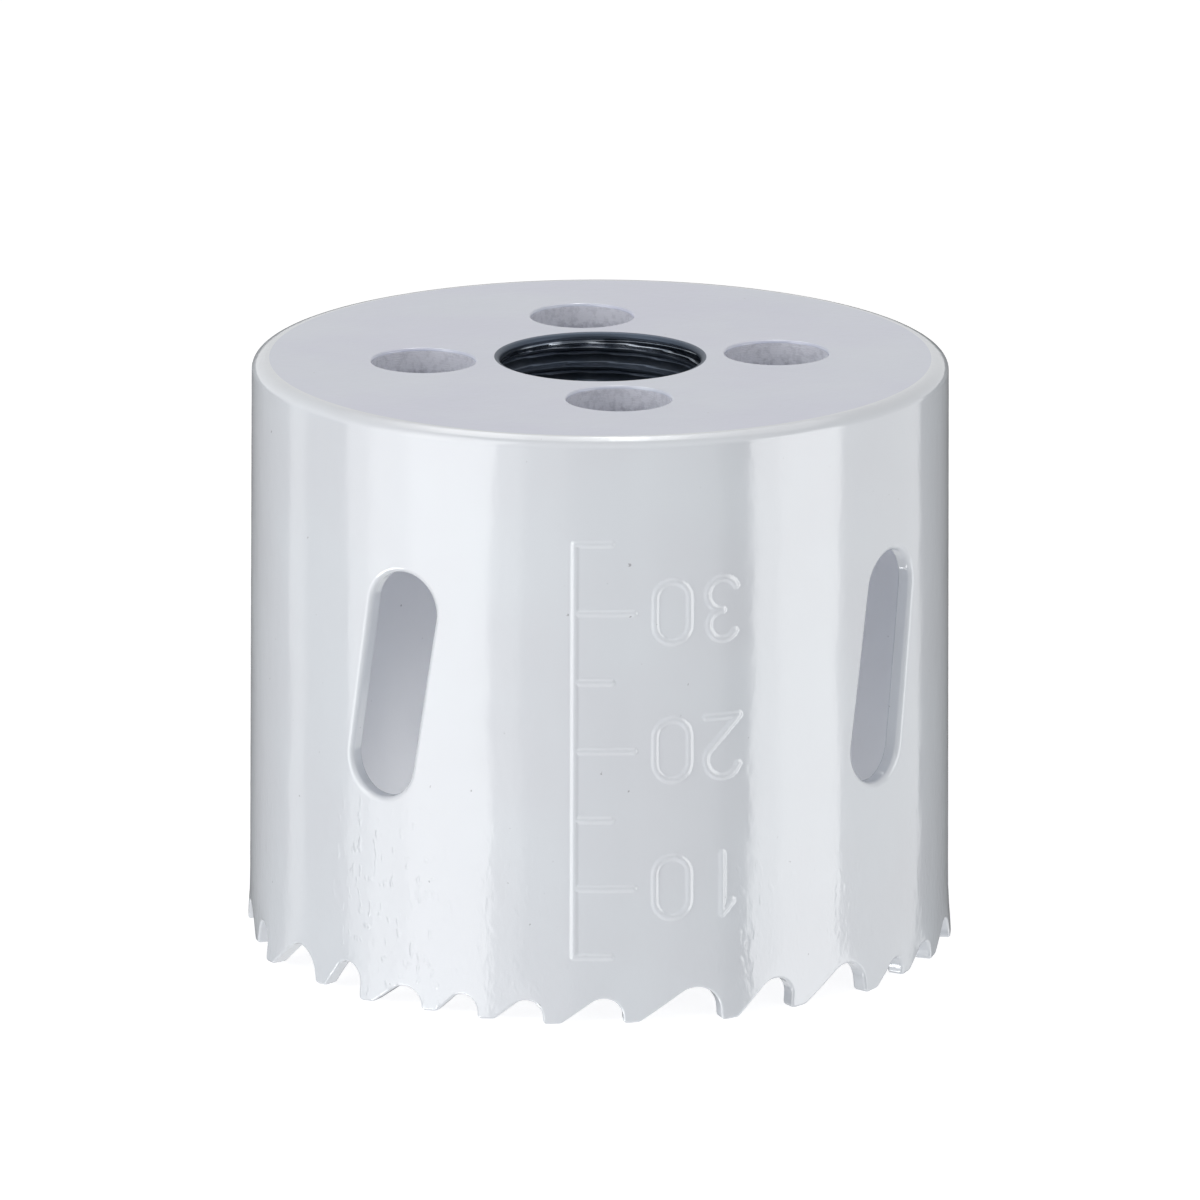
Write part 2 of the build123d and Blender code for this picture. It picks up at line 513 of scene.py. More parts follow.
def sheet(skin, surface, facing, edge, holes, top_index, top_height, close_points):
    """One side of the wall, laid flat from a seam and triangulated. Close points carry its relief."""
    edge_index, edge_theta, edge_height = edge
    full = 2 * math.pi
    top_theta = rim_angles()
    levels = round((top_height - edge_height[0]) / GRID)
    seam_height = np.linspace(edge_height[0], top_height, levels + 1)[1:-1]
    seam_theta = np.linspace(edge_theta[0], top_theta[0], levels + 1)[1:-1]
    seam_index = skin.add(
        at_wall(seam_theta, seam_height, surface(seam_theta, seam_height)),
        facing * wall_normals(surface, seam_theta, seam_height),
    )
    theta = [
        edge_theta, [edge_theta[0] + full], seam_theta + full, [top_theta[0] + full],
        top_theta[::-1], seam_theta[::-1],
    ]
    height = [
        edge_height, [edge_height[0]], seam_height, [top_height],
        np.full(RIM_STEPS, top_height), seam_height[::-1],
    ]
    index = [edge_index, [edge_index[0]], seam_index, [top_index[0]], top_index[::-1], seam_index[::-1]]
    loops = [np.arange(sum(len(part) for part in theta))]
    for hole_index, hole_theta, hole_height in holes:
        turned = top_theta[0] + (hole_theta - top_theta[0]) % full
        theta.append(turned)
        height.append(hole_height)
        index.append(hole_index)
        count = sum(len(part) for part in theta)
        loops.append(np.arange(count - len(turned), count))
    theta, height, index = (np.concatenate(part) for part in (theta, height, index))
    flat = np.column_stack([(theta - top_theta[0]) * teeth_radius, height])
    inner = grid_points(flat, loops)
    if len(close_points[0]):
        along = ((close_points[0] - top_theta[0]) % full) * teeth_radius
        close = np.column_stack([along, close_points[1]])
        apart = np.array([np.hypot(*(close - point).T).min() for point in inner])
        inner = np.concatenate([inner[apart > RELIEF_GAP], close])
    grid_theta = inner[:, 0] / teeth_radius + top_theta[0]
    added = skin.add(
        at_wall(grid_theta, inner[:, 1], surface(grid_theta, inner[:, 1])),
        facing * wall_normals(surface, grid_theta, inner[:, 1]),
    )
    skin.fill(np.concatenate([flat, inner]), np.concatenate([index, added]), loops)


def grid_points(flat, loops):
    """Staggered points inside a flat layout, clear of its edges."""
    low, high = flat[loops[0]].min(axis=0), flat[loops[0]].max(axis=0)
    columns = np.arange(low[0] + GRID / 2, high[0], GRID)
    levels = np.arange(low[1] + GRID / 2, high[1], GRID)
    x, y = np.meshgrid(columns, levels)
    x = x + (np.arange(len(levels)) % 2)[:, None] * GRID / 2
    points = np.column_stack([x.ravel(), y.ravel()])
    keep = inside(points, flat[loops[0]])
    for loop in loops[1:]:
        keep &= ~inside(points, flat[loop])
    points = points[keep]
    apart = np.array([np.hypot(*(flat - point).T).min() for point in points])
    return points[apart > EDGE_GAP]


def rim_angles():
    """Angles of the points round the rim, from the butt seam on."""
    return row[0][0] + LAND / 2 / teeth_radius + full_turn(RIM_STEPS)


def rim(skin):
    """Fillet and flat top of the wall. Returns its lowest outer ring and its inner ring."""
    out = outward(rim_angles())
    top_radius = wall_radius(HEIGHT)
    rings = []
    for step in range(FILLET_STEPS + 1):
        angle = math.pi / 2 * step / FILLET_STEPS
        radius = top_radius - RIM_ROUND * (1 - math.cos(angle))
        height = HEIGHT - RIM_FILLET * (1 - math.sin(angle))
        normals = out * math.cos(angle) / RIM_ROUND + UP * math.sin(angle) / RIM_FILLET
        normals /= np.linalg.norm(normals, axis=1)[:, None]
        rings.append(skin.add(out * radius + UP * height, normals))
    rings.append(skin.add(out * (top_radius - WALL) + UP * HEIGHT, np.tile(UP, (RIM_STEPS, 1))))
    for first, second in zip(rings, rings[1:]):
        skin.band(first, second)
    return rings[0], rings[-1]


def strip_mesh():
    """The whole rolled strip with its teeth, as one closed mesh."""
    skin = Skin()
    outer_edge, inner_edge = rounded_edge(skin, toothed_edge(), TOOTH_EDGE, TOOTH_EDGE)
    slots = [
        rounded_edge(skin, slot_edge(2 * math.pi * n / SLOT_COUNT), SLOT_EDGE, SLOT_INNER_EDGE)
        for n in range(SLOT_COUNT)
    ]
    low_ring, inner_ring = rim(skin)
    outer_holes, inner_holes = ([slot[side] for slot in slots] for side in (0, 1))
    sheet(skin, outer_radius, 1, outer_edge, outer_holes, low_ring, HEIGHT - RIM_FILLET, scale_points())
    skin.material = INNER_SLOT
    sheet(skin, inner_radius, -1, inner_edge, inner_holes, inner_ring, HEIGHT, ([], []))
    return skin.mesh("strip")


def cut_piece(strip, name, above):
    """The part of the strip above or below the weld line, closed by a flat cap."""
    shape = bmesh.new()
    shape.from_mesh(strip)
    bmesh.ops.bisect_plane(
        shape,
        geom=shape.verts[:] + shape.edges[:] + shape.faces[:],
        dist=CUT_TOLERANCE,
        plane_co=(0, 0, TIP_HEIGHT * MM),
        plane_no=(0, 0, 1),
        clear_inner=above,
        clear_outer=not above,
    )
    rim_edges = [edge for edge in shape.edges if edge.is_boundary]
    bmesh.ops.holes_fill(shape, edges=rim_edges, sides=0)
    mesh = bpy.data.meshes.new(name)
    finish_mesh(shape, mesh)
    return mesh


def finish_mesh(shape, mesh):
    """Turns the faces outward and hands the stored normals to the shading."""
    bmesh.ops.recalc_face_normals(shape, faces=shape.faces)
    for face in shape.faces:
        face.smooth = True
    shape.to_mesh(mesh)
    shape.free()
    stored = np.zeros(len(mesh.vertices) * 3, np.float32)
    mesh.attributes["shade"].data.foreach_get("vector", stored)
    mesh.normals_split_custom_set_from_vertices(stored.reshape(-1, 3).tolist())
    mesh.attributes.remove(mesh.attributes["shade"])


def thread_radius(angle, height):
    """Radius of the arbor thread: a 60 degree groove that winds down the bore."""
    phase = ((height - HEIGHT) / THREAD_PITCH - angle / (2 * math.pi)) % 1 - 0.5
    groove = np.clip((GROOVE_MOUTH - np.abs(phase)) / (GROOVE_MOUTH - GROOVE_ROOT), 0, 1)
    from_end = np.minimum(HEIGHT - BORE_LIP - height, height - PLATE_UNDERSIDE - BORE_LIP)
    return BORE_RADIUS + THREAD_DEPTH * groove * smooth(from_end / BORE_LIP)


def bore_radius(angle, height):
    """Radius of the bore with a round lip at both faces of the plate."""
    from_face = np.minimum(HEIGHT - height, height - PLATE_UNDERSIDE)
    lip = np.clip(from_face / BORE_LIP, 0, 1)
    mouth = bore_mouth - BORE_LIP_WIDTH * np.sqrt(1 - (1 - lip) ** 2)
    return np.maximum(mouth, thread_radius(angle, height))


def bore_wall(skin):
    """Rings down the threaded bore. Returns the top and the bottom one."""
    angle = full_turn(BORE_STEPS)
    rings = []
    for height in np.linspace(HEIGHT, PLATE_UNDERSIDE, BORE_RINGS):
        level = np.full(BORE_STEPS, height)
        normals = -wall_normals(bore_radius, angle, level)
        if height in (HEIGHT, PLATE_UNDERSIDE):
            normals = np.tile([0, 0, 1.0 if height == HEIGHT else -1.0], (BORE_STEPS, 1))
        rings.append(skin.add(at_wall(angle, level, bore_radius(angle, level)), normals))
    skin.material = THREAD_SLOT
    for first, second in zip(rings, rings[1:]):
        skin.band(first, second)
    skin.material = 0
    return rings[0], rings[-1]


def pin_hole(skin, angle):
    """Rings of one drive pin hole, from the top sheet to the bottom one."""
    out = outward(full_turn(PIN_STEPS))
    centre = PIN_CIRCLE_RADIUS * np.array([math.cos(angle), math.sin(angle), 0])
    rings = []
    for face, facing in ((HEIGHT, 1), (PLATE_UNDERSIDE, -1)):
        shares = np.arange(EDGE_STEPS + 1)[::-facing] / EDGE_STEPS
        for share in shares:
            bend = share * math.pi / 2
            radius = PIN_HOLE_RADIUS + PIN_EDGE * (1 - math.cos(bend))
            height = face - facing * PIN_EDGE * (1 - math.sin(bend))
            normals = -out * math.cos(bend) + facing * UP * math.sin(bend)
            rings.append(skin.add(centre + out * radius + UP * height, normals))
    for number, (first, second) in enumerate(zip(rings, rings[1:])):
        skin.material = PIN_HOLE_SLOT if number == EDGE_STEPS else 0
        skin.band(first, second)
    skin.material = 0
    return rings[0], rings[-1]


def plate_sheet(skin, facing, outer, holes):
    """Top or underside of the plate, triangulated between its rings."""
    index = np.concatenate([outer] + holes)
    flat = np.array([skin.points[i][:2] for i in index])
    ends = np.cumsum([len(outer)] + [len(hole) for hole in holes])
    loops = [np.arange(end - len(ring), end) for ring, end in zip([outer] + holes, ends)]
    inner = grid_points(flat, loops)
    height = HEIGHT if facing > 0 else PLATE_UNDERSIDE
    points = np.column_stack([inner, np.full(len(inner), height)])
    added = skin.add(points, np.tile([0, 0, float(facing)], (len(inner), 1)))
    skin.fill(np.concatenate([flat, inner]), np.concatenate([index, added]), loops)


def plate_mesh():
    """The back plate with its pin holes and its threaded bore."""
    skin = Skin()
    out = outward(rim_angles())
    top = skin.add(out * (wall_radius(HEIGHT) - WALL) + UP * HEIGHT, np.tile(UP, (RIM_STEPS, 1)))
    low_radius = wall_radius(PLATE_UNDERSIDE) - WALL
    low = skin.add(out * low_radius + UP * PLATE_UNDERSIDE, np.tile(-UP, (RIM_STEPS, 1)))
    skin.band(top, low)
    bore_top, bore_low = bore_wall(skin)
    step = 2 * math.pi / PIN_HOLE_COUNT
    pins = [pin_hole(skin, math.radians(PIN_HOLE_ANGLE) + step * n) for n in range(PIN_HOLE_COUNT)]
    plate_sheet(skin, 1, top, [bore_top] + [pin[0] for pin in pins])
    plate_sheet(skin, -1, low, [bore_low] + [pin[1] for pin in pins])
    mesh = skin.mesh("plate")
    shape = bmesh.new()
    shape.from_mesh(mesh)
    finish_mesh(shape, mesh)
    return mesh


class Nodes:
    """Short way to write the nodes of a material or the world."""

    def __init__(self, owner):
        self.owner = owner
        self.owner.use_nodes = True
        self.tree = owner.node_tree
        self.shader = self.tree.nodes.get("Principled BSDF")

    def node(self, kind, **settings):
        """New node with some of its settings."""
        made = self.tree.nodes.new(kind)
        for name, value in settings.items():
            setattr(made, name, value)
        return made

    def link(self, source, target):
        self.tree.links.new(source, target)

    def millimetres(self):
        """Object coordinates in millimetres."""
        place = self.node("ShaderNodeTexCoord")
        scale = self.node("ShaderNodeVectorMath", operation="SCALE")
        scale.inputs["Scale"].default_value = 1 / MM
        self.link(place.outputs["Object"], scale.inputs[0])
        return scale.outputs[0]

    def split(self, place):
        """Outputs X, Y and Z of a place."""
        made = self.node("ShaderNodeSeparateXYZ")
        self.link(place, made.inputs[0])
        return made.outputs

    def noise(self, place, scale, detail=2.0, roughness=0.5):
        """Soft noise from 0 to 1 at a place."""
        made = self.node("ShaderNodeTexNoise")
        made.inputs["Scale"].default_value = scale
        made.inputs["Detail"].default_value = detail
        made.inputs["Roughness"].default_value = roughness
        self.link(place, made.inputs["Vector"])
        return made.outputs["Fac"]

    def ramp(self, value, low, high, start=0.0, end=1.0):
        """Value mapped smoothly from low..high to start..end."""
        made = self.node("ShaderNodeMapRange", interpolation_type="SMOOTHSTEP")
        for name, number in (("From Min", low), ("From Max", high), ("To Min", start), ("To Max", end)):
            made.inputs[name].default_value = number
        self.link(value, made.inputs["Value"])
        return made.outputs["Result"]

    def math(self, operation, first, second):
        """Result of two outputs, or of an output and a number."""
        made = self.node("ShaderNodeMath", operation=operation)
        for socket, value in zip(made.inputs, (first, second)):
            if isinstance(value, (int, float)):
                socket.default_value = value
            else:
                self.link(value, socket)
        return made.outputs[0]

    def mix(self, share, first, second):
        """Colour between the first (0) and the second (1)."""
        made = self.node("ShaderNodeMix", data_type="RGBA")
        self.link(share, made.inputs["Factor"])
        for socket, value in ((made.inputs[6], first), (made.inputs[7], second)):
            if isinstance(value, tuple):
                socket.default_value = (*value, 1)
            else:
                self.link(value, socket)
        return made.outputs[2]

    def bump(self, height, reach, before=None):
        """Normal bent by a height, whose 1 stands for a reach in millimetres."""
        made = self.node("ShaderNodeBump")
        made.inputs["Distance"].default_value = reach * MM
        self.link(height, made.inputs["Height"])
        if before is not None:
            self.link(before, made.inputs["Normal"])
        return made.outputs["Normal"]


# Tones and gloss of the paints and the steel. The inside of the cup and the plate have lighter and darker
# copies of the one white paint, as painted light and painted shade.
PAINT = (0.76, 0.795, 0.84)
PAINT_SHADE = (0.745, 0.77, 0.815)
# Lighter copy of the white paint inside the cup, as painted light
LIT_INNER_PAINT = (0.86, 0.885, 0.925)
LIT_INNER_PAINT_DARK = (0.845, 0.86, 0.90)
# Darker, bluer copy of the white paint on the plate, as painted shade on its top, which leaves the wall's rim
# beside it as a lighter band
SHADED_PLATE_PAINT = (0.635, 0.675, 0.785)
SHADED_PLATE_PAINT_DARK = (0.605, 0.625, 0.77)
SPECK = (0.45, 0.46, 0.49)
STEEL = (0.06, 0.075, 0.10)
# Brighter steel of the painted highlight on the thread's first crest
CREST_HIGHLIGHT_STEEL = (0.34, 0.37, 0.41)
# Tones of a pin hole's wall; the dark one also gives its painted shade
HOLE_LIGHT = (0.70, 0.71, 0.78)
HOLE_DARK = (0.38, 0.39, 0.45)
PAINT_IOR = 1.85
PAINT_ROUGHNESS = 0.11
INNER_ROUGHNESS = 0.32
HOLE_ROUGHNESS = 0.3
STEEL_ROUGHNESS = 0.46
CREST_ROUGHNESS = 0.2

# Patterns of the paint: a scale is a number of lumps to the millimetre. A spread is the part of the noise's
# range, from 0 to 1, over which a pattern rises.
SOFT_SPREAD = (0.3, 0.7)
DRAWN_OUT = 0.55  # drips and brush marks run along the axis, so their Z is shortened to this
CLOUD_SCALE = 0.10
WEAR_SCALE = 0.35
WEAR = (-0.02, 0.03)  # change of the roughness
SPECK_SCALE = 1.6
SPECK_SPREAD = (0.765, 0.80)
WAVE_SCALE = 0.07
WAVE_HEIGHT = 0.16
PEEL_SCALE = 0.5
PEEL_HEIGHT = 0.02
GRAIN_SCALE = 2.4
GRAIN_HEIGHT = 0.011
GRAIN_REST = 0.4  # its share above GRAIN_TOP, and 1 more is added at GRAIN_FULL
GRAIN_TOP = 14.0
GRAIN_FULL = 2.0
FLECK_SCALE = 1.9
FLECK_SPREAD = (0.58, 0.78)
FLECK_HEIGHT = 0.036
FLECK_TOP = 19.0  # small drips begin here and are full at FLECK_FULL
FLECK_FULL = 9.0
FLECK_SIDE = (-24.5, -25.0)  # they are highest on the -Y side, over this stretch of Y
FLECK_REST = 0.15  # their share elsewhere

# Thread: depths below the top of the plate, and shares of the brighter tone of the painted highlight on the
# first crest
CREST_START = (0.4, 0.7)
CREST_END = (0.95, 1.4)
CREST_REST = 0.1  # share left on the crests below the first
STAIN_SCALE = 0.6
STAIN_SPREAD = (0.4, 0.65)
STAIN_REST = 0.25  # share left where it is stained
PITTING_SCALE = 1.1
PITTING_HEIGHT = 0.02

# Pin holes: how much of the dark tone the mottling and the depth give, and the sum that gives all of it. The
# share by depth is painted shade, darker towards the bottom of the hole.
MOTTLE_SCALE = 2.2
MOTTLE_SPREAD = (0.35, 0.65)
MOTTLE_SHARE = (-0.1, 0.45)
MOTTLE_HEIGHT = 0.03
SHADE_DEPTH = (1.1, 2.4)
SHADE_SHARE = 0.8
SHADE_SUM = 1.2
RIPPLE_SCALE = 1.7
RIPPLE_DISTORTION = 9.0
RIPPLE_HEIGHT = 0.008


def paint_material(name, light_tone, dark_tone, roughness=PAINT_ROUGHNESS, fleck_height=FLECK_HEIGHT):
    """White gloss paint with waves, orange peel and faint specks, and with grain and drips near the teeth."""
    made = Nodes(bpy.data.materials.new(name))
    place = made.millimetres()
    split = made.split(place)
    mapping = made.node("ShaderNodeMapping")
    mapping.inputs["Scale"].default_value = (1, 1, DRAWN_OUT)
    made.link(place, mapping.inputs["Vector"])
    drawn = mapping.outputs["Vector"]
    cloud = made.ramp(made.noise(place, CLOUD_SCALE), *SOFT_SPREAD)
    colour = made.mix(cloud, light_tone, dark_tone)
    speck = made.ramp(made.noise(place, SPECK_SCALE), *SPECK_SPREAD)
    made.link(made.mix(speck, colour, SPECK), made.shader.inputs["Base Color"])
    made.shader.inputs["IOR"].default_value = PAINT_IOR
    wear = made.ramp(made.noise(drawn, WEAR_SCALE), *SOFT_SPREAD, roughness + WEAR[0], roughness + WEAR[1])
    made.link(wear, made.shader.inputs["Roughness"])
    low = made.ramp(split["Z"], GRAIN_TOP, GRAIN_FULL)
    grain_height = made.math("MULTIPLY", made.noise(drawn, GRAIN_SCALE), made.math("ADD", GRAIN_REST, low))
    wave = made.bump(made.noise(place, WAVE_SCALE, detail=1), WAVE_HEIGHT)
    peel = made.bump(made.noise(drawn, PEEL_SCALE), PEEL_HEIGHT, before=wave)
    grain = made.bump(grain_height, GRAIN_HEIGHT, before=peel)
    drips = made.ramp(made.noise(drawn, FLECK_SCALE, detail=1), *FLECK_SPREAD)
    gathered = made.ramp(split["Y"], *FLECK_SIDE, FLECK_REST, 1.0)
    near_teeth = made.ramp(split["Z"], FLECK_TOP, FLECK_FULL)
    flecks = made.math("MULTIPLY", drips, made.math("MULTIPLY", gathered, near_teeth))
    made.link(made.bump(flecks, fleck_height, before=grain), made.shader.inputs["Normal"])
    return made.owner


def steel_material():
    """Bare oiled steel of the thread, with stains and a painted highlight on its first crest."""
    made = Nodes(bpy.data.materials.new("thread_steel"))
    place = made.millimetres()
    made.shader.inputs["Metallic"].default_value = 1.0
    depth = made.math("SUBTRACT", HEIGHT, made.split(place)["Z"])
    # The first crest under the mouth is given a painted highlight: a brighter steel tone and less roughness.
    # The crests below keep little of it, as painted shade.
    crest_end = made.ramp(depth, *CREST_END, 1.0, CREST_REST)
    crest = made.math("MULTIPLY", made.ramp(depth, *CREST_START), crest_end)
    stain = made.ramp(made.noise(place, STAIN_SCALE, detail=3), *STAIN_SPREAD, STAIN_REST, 1.0)
    colour = made.mix(made.math("MULTIPLY", crest, stain), STEEL, CREST_HIGHLIGHT_STEEL)
    made.link(colour, made.shader.inputs["Base Color"])
    roughness = made.ramp(crest, 0.0, 1.0, STEEL_ROUGHNESS, CREST_ROUGHNESS)
    made.link(roughness, made.shader.inputs["Roughness"])
    pitting = made.noise(place, PITTING_SCALE, detail=3)
    made.link(made.bump(pitting, PITTING_HEIGHT), made.shader.inputs["Normal"])
    return made.owner


def hole_material():
    """Drilled wall of a pin hole: thin mottled paint over the ripples of the drill, and painted shade that
    makes it darker towards the bottom.
    """
    made = Nodes(bpy.data.materials.new("pin_hole_paint"))
    place = made.millimetres()
    depth = made.math("SUBTRACT", HEIGHT, made.split(place)["Z"])
    mottle = made.noise(place, MOTTLE_SCALE, detail=3, roughness=0.6)
    mottled = made.ramp(mottle, *MOTTLE_SPREAD, *MOTTLE_SHARE)
    # Painted shade: darker the deeper the wall lies in the hole.
    shaded = made.ramp(depth, *SHADE_DEPTH, 0.0, SHADE_SHARE)
    share = made.ramp(made.math("ADD", mottled, shaded), 0.0, SHADE_SUM)
    made.link(made.mix(share, HOLE_LIGHT, HOLE_DARK), made.shader.inputs["Base Color"])
    made.shader.inputs["Roughness"].default_value = HOLE_ROUGHNESS
    ripple = made.node("ShaderNodeTexWave", wave_type="BANDS", bands_direction="Z")
    ripple.inputs["Scale"].default_value = RIPPLE_SCALE
    ripple.inputs["Distortion"].default_value = RIPPLE_DISTORTION
    made.link(place, ripple.inputs["Vector"])
    rippled = made.bump(ripple.outputs["Fac"], RIPPLE_HEIGHT)
    made.link(made.bump(mottle, MOTTLE_HEIGHT, before=rippled), made.shader.inputs["Normal"])
    return made.owner


def add_piece(mesh, name, materials, node):
    """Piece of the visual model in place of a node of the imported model."""
    for material in materials:
        mesh.materials.append(material)
    made = bpy.data.objects.new(name, mesh)
    bpy.context.scene.collection.objects.link(made)
    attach(made, "root")
    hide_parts(node)


# Camera: fitted to the photograph, in the saw's frame
CAMERA_AZIMUTH = 36.0
CAMERA_ELEVATION = 14.562
CAMERA_DISTANCE = 1000.0
CAMERA_AIM = (0.02, 24.476)  # to the right of the axis, and above the tooth points
CAMERA_ROLL = 0.1364
FOCAL_PIXELS = 13905.4
PHOTO_SIZE = 1200
SENSOR = 36.0
CLIP_START = 0.1  # metres
CLIP_END = 20.0


def camera_axes():
    """Right, level forward and up at the camera's azimuth."""
    turn = math.radians(CAMERA_AZIMUTH)
    right = Vector((math.cos(turn), math.sin(turn), 0))
    ahead = Vector((-math.sin(turn), math.cos(turn), 0))
    return right, ahead, Vector((0, 0, 1))


def add_camera():
    """Camera at the photograph's viewing angle."""
    right, ahead, up = camera_axes()
    rise = math.radians(CAMERA_ELEVATION)
    roll = math.radians(CAMERA_ROLL)
    look = ahead * math.cos(rise) - up * math.sin(rise)
    over = ahead * math.sin(rise) + up * math.cos(rise)
    side = right * math.cos(roll) + over * math.sin(roll)
    over = over * math.cos(roll) - right * math.sin(roll)
    aim = right * CAMERA_AIM[0] + up * CAMERA_AIM[1]
    made = bpy.data.objects.new("camera", bpy.data.cameras.new("camera"))
    bpy.context.scene.collection.objects.link(made)
    made.data.sensor_width = SENSOR
    made.data.lens = FOCAL_PIXELS / PHOTO_SIZE * SENSOR
    made.data.clip_start = CLIP_START
    made.data.clip_end = CLIP_END
    turned = Matrix((side, over, -look)).transposed().to_4x4()
    made.matrix_world = Matrix.Translation((aim - look * CAMERA_DISTANCE) * MM) @ turned
    bpy.context.scene.camera = made


# Studio light: azimuths from and to, seen from the camera, elevations from and to, radiance
LAMP_DISTANCE = 700.0
LAMPS = {
    "left_box": ((-70, -50), (0, 35), 5.0),
    "right_box": ((30, 50), (0, 35), 1.7),
    "top_box": ((-30, 30), (45, 60), 1.1),
}
# Screens that only the gloss shows: azimuths from and to, elevations from and to, and radiance
SCREEN_DISTANCE = 760.0
SCREEN_STEP = 1
LEFT_LEVELS = (-36, 60)
FRONT_LEVELS = (-36, 28)
BACK_LEVELS = (-36, 6)  # the top of the saw mirrors the white backdrop over these
SCREENS = (
    ((-90, -80), LEFT_LEVELS, 1.25),
    ((-80, -65), LEFT_LEVELS, 1.9),
    ((-65, -35), LEFT_LEVELS, 2.4),
    ((-35, -25), FRONT_LEVELS, 1.0),
    ((-25, -10), FRONT_LEVELS, 0.45),
    ((-10, 10), FRONT_LEVELS, 0.2),
    ((10, 40), FRONT_LEVELS, 0.35),
    ((40, 50), FRONT_LEVELS, 0.0),
    ((50, 60), FRONT_LEVELS, 2.4),
    ((60, 85), FRONT_LEVELS, 2.85),
    ((85, 130), BACK_LEVELS, 1.15),
    ((130, 238), BACK_LEVELS, 0.1),
    ((238, 248), BACK_LEVELS, 0.68),
    ((248, 270), BACK_LEVELS, 0.22),
)
# Nearer screen, low down, that only the small drips of the paint mirror
FLECK_SCREEN = ((-80, -52), (-50, -33), 9.0)
FLECK_SCREEN_DISTANCE = 730.0
# Panels over the saw, mirrored by the rounding of its rim: front edge across the view, height and radiance
PANEL_DEPTH = (150, 1300)  # front and back edge, behind the axis
PANEL_FAN = 0.22  # width of the back edge as a share of the front one
PANEL_HEIGHT = 780.0
SPOT_HEIGHT = 740.0
PANELS = (
    ((-600, -430), PANEL_HEIGHT, 1.3),
    ((-430, -310), PANEL_HEIGHT, 1.9),
    ((-310, -125), PANEL_HEIGHT, 2.9),
    ((-125, -43), PANEL_HEIGHT, 2.2),
    ((-43, 135), PANEL_HEIGHT, 2.9),
    ((135, 216), PANEL_HEIGHT, 1.9),
    ((216, 540), PANEL_HEIGHT, 1.6),
    ((20, 68), SPOT_HEIGHT, 5.5),
)


def add_lamp(name, azimuths, elevations, radiance):
    """Flat rectangle that faces the middle of the saw and spans the given angles."""
    right, ahead, up = camera_axes()
    turn = math.radians(sum(azimuths) / 2)
    rise = math.radians(sum(elevations) / 2)
    level = right * math.sin(turn) - ahead * math.cos(turn)
    away = level * math.cos(rise) + up * math.sin(rise)
    data = bpy.data.lights.new(name, "AREA")
    data.shape = "RECTANGLE"
    half_width = math.radians(azimuths[1] - azimuths[0]) / 2
    half_height = math.radians(elevations[1] - elevations[0]) / 2
    data.size = 2 * LAMP_DISTANCE * math.tan(half_width) * math.cos(rise) * MM
    data.size_y = 2 * LAMP_DISTANCE * math.tan(half_height) * MM
    data.energy = radiance * math.pi * data.size * data.size_y
    made = bpy.data.objects.new(name, data)
    made.location = (away * LAMP_DISTANCE + up * HEIGHT / 2) * MM
    made.rotation_mode = "QUATERNION"
    made.rotation_quaternion = away.to_track_quat("Z", "Y")
    # The gloss shows the screens instead.
    made.visible_glossy = False
    bpy.context.scene.collection.objects.link(made)


def add_glow(name, points, faces, radiance):
    """Glowing surface that only the gloss shows."""
    mesh = bpy.data.meshes.new(name)
    mesh.from_pydata([point * MM for point in points], [], faces)
    nodes = Nodes(bpy.data.materials.new(name))
    nodes.shader.inputs["Base Color"].default_value = (0, 0, 0, 1)
    nodes.shader.inputs["Specular IOR Level"].default_value = 0.0
    nodes.shader.inputs["Emission Color"].default_value = (1, 1, 1, 1)
    nodes.shader.inputs["Emission Strength"].default_value = radiance
    mesh.materials.append(nodes.owner)
    made = bpy.data.objects.new(name, mesh)
    bpy.context.scene.collection.objects.link(made)
    for kind in ("camera", "diffuse", "transmission", "shadow", "volume_scatter"):
        setattr(made, "visible_" + kind, False)


def add_screen(name, azimuths, levels, radiance, distance=SCREEN_DISTANCE):
    """Upright curved screen round a part of the saw."""
    right, ahead, up = camera_axes()
    low, high = (HEIGHT / 2 + distance * math.tan(math.radians(level)) for level in levels)
    points = []
    for azimuth in range(azimuths[0], azimuths[1] + 1, SCREEN_STEP):
        turn = math.radians(azimuth)
        away = (right * math.sin(turn) - ahead * math.cos(turn)) * distance
        points += [away + up * low, away + up * high]
    faces = [(n, n + 1, n + 3, n + 2) for n in range(0, len(points) - 2, 2)]
    add_glow(name, points, faces, radiance)


def add_panel(name, across, height, radiance):
    """Level panel over the saw, narrower at its back."""
    right, ahead, up = camera_axes()
    front, back = PANEL_DEPTH
    start, end = across
    corners = [(start, front), (end, front), (end * PANEL_FAN, back), (start * PANEL_FAN, back)]
    points = [right * side + ahead * behind + up * height for side, behind in corners]
    add_glow(name, points, [(0, 1, 2, 3)], radiance)


WORLD_STRENGTH = 0.44


def add_world():
    """Soft light all round. The backdrop is white to the camera, and in reflections and refractions."""
    world = bpy.data.worlds.new("studio")
    bpy.context.scene.world = world
    nodes = Nodes(world)
    path = nodes.node("ShaderNodeLightPath")
    mirrored = nodes.math("MAXIMUM", path.outputs["Is Glossy Ray"], path.outputs["Is Transmission Ray"])
    seen = nodes.math("MAXIMUM", path.outputs["Is Camera Ray"], mirrored)
    background = nodes.tree.nodes["Background"]
    background.inputs["Color"].default_value = (1, 1, 1, 1)
    nodes.link(nodes.math("MAXIMUM", seen, WORLD_STRENGTH), background.inputs["Strength"])


FLOOR_SIZE = 4000.0
FLOOR_TONE = 0.45
FLOOR_GLOW = 0.5
FLOOR_SEEN_GLOW = 0.3  # more of it for the camera, so that the floor is white


